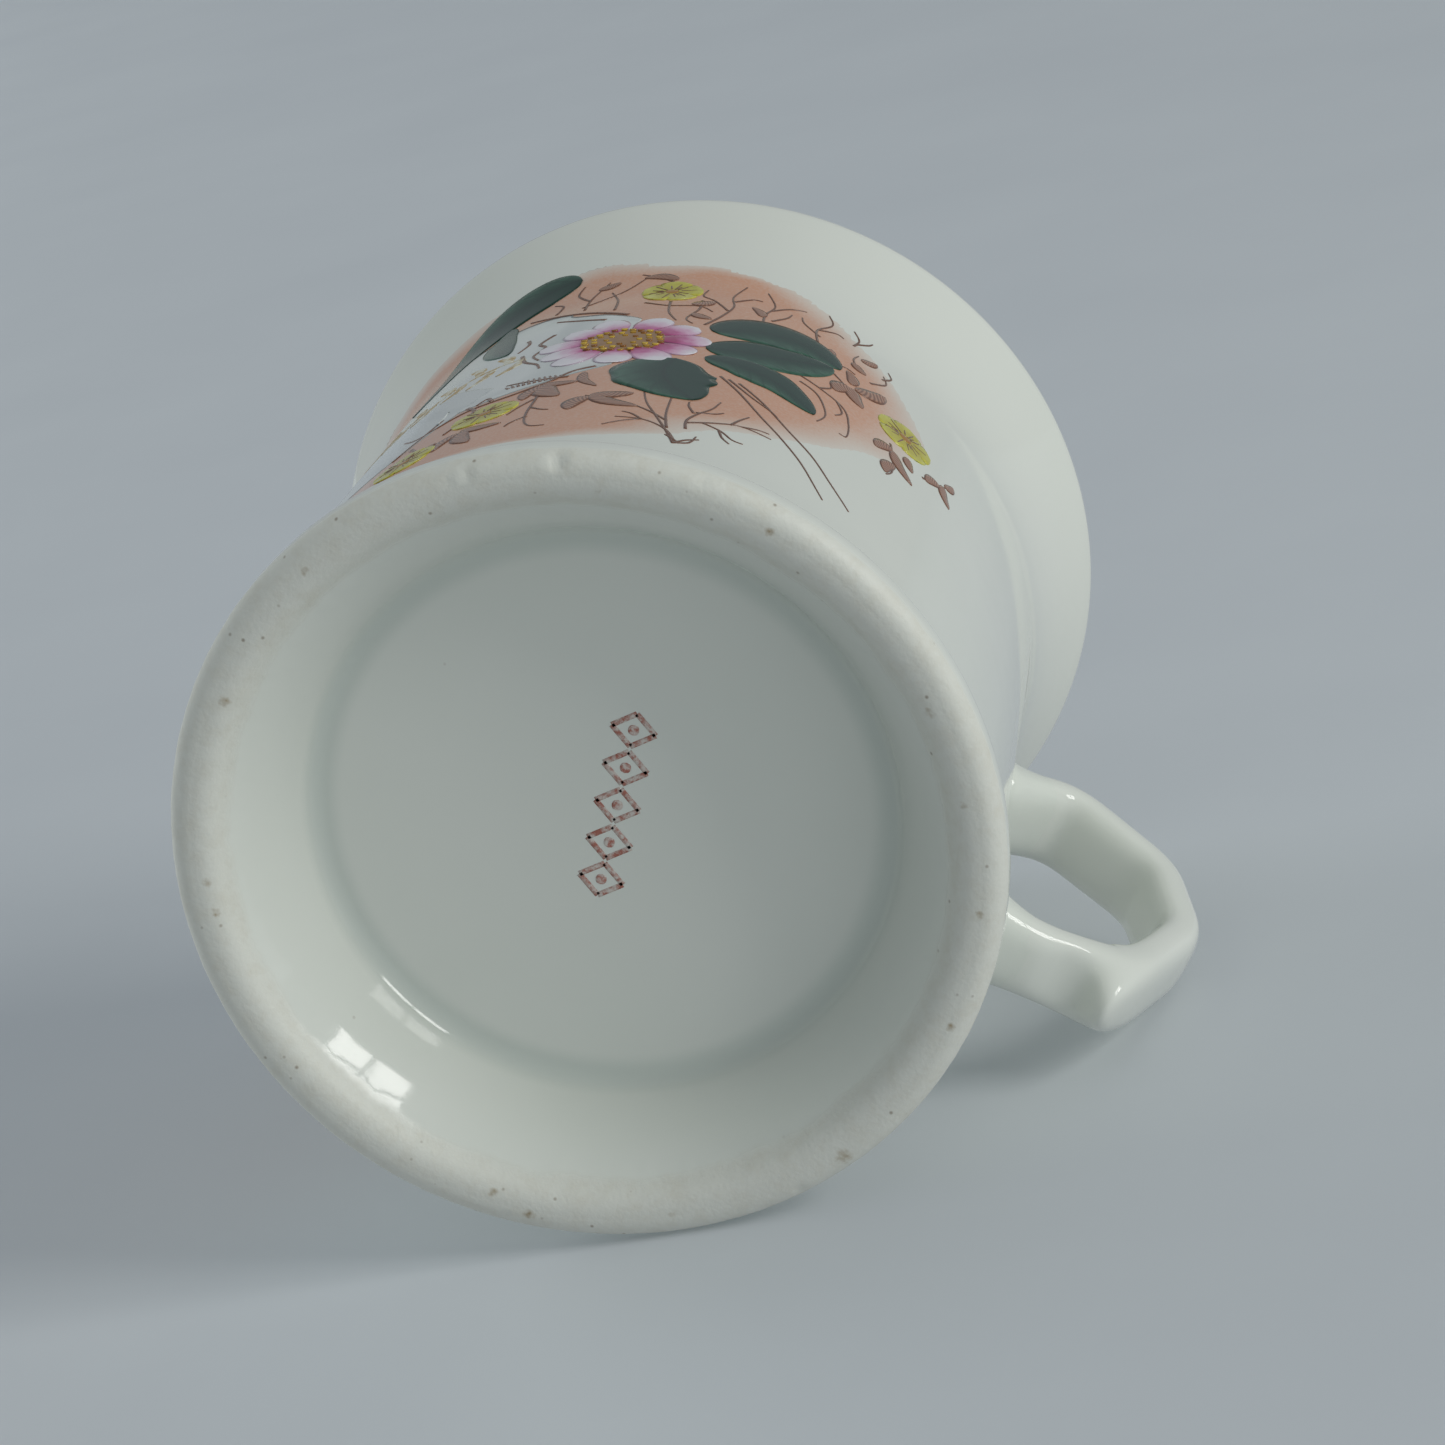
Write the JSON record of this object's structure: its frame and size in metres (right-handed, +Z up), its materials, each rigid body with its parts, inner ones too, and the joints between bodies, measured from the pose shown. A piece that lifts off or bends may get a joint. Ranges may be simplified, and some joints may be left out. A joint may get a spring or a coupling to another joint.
{
  "type": "shaving mug",
  "caption": "Upright porcelain shaving mug with a hollow spreading foot, flared lip, angular strap loop handle and a fired-on floral panel with a blank ribbon scroll.",
  "frame": {"origin": "centre of the flat ring under the foot, on the cup's own axis", "axes": "+Z up the cup's axis to the open lip, +X from the axis towards the handle"},
  "size_m": [0.113, 0.0916, 0.0946],
  "materials": {
    "porcelain": "clear gloss glaze, bare and matte on the standing ring",
    "slip": "wiped to a cove and glazed over",
    "peach_enamel": "airbrushed on-glaze enamel with soft edges, gloss",
    "white_enamel": "white reserve with grey shading, gloss",
    "gilding": "thin worn liquid gold",
    "rose_enamel": "hand-tinted enamel, gloss",
    "green_enamel": "raised enamel, gloss",
    "yellow_enamel": "hand-tinted enamel, gloss",
    "sepia_print": "transfer print under thin flux",
    "iron_red_print": "thin rubber-stamped mark"
  },
  "bodies": {
    "root": {"body": "porcelain", "handle": "porcelain", "upper_slip_joint": "slip", "lower_slip_joint": "slip", "peach_ground": "peach_enamel", "ribbon_scroll": "white_enamel", "gilt_flourish": "gilding", "large_flower": "rose_enamel", "green_leaves": "green_enamel", "yellow_flowers": "yellow_enamel", "printed_sprigs": "sepia_print", "base_mark": "iron_red_print"}
  },
  "joints": []
}
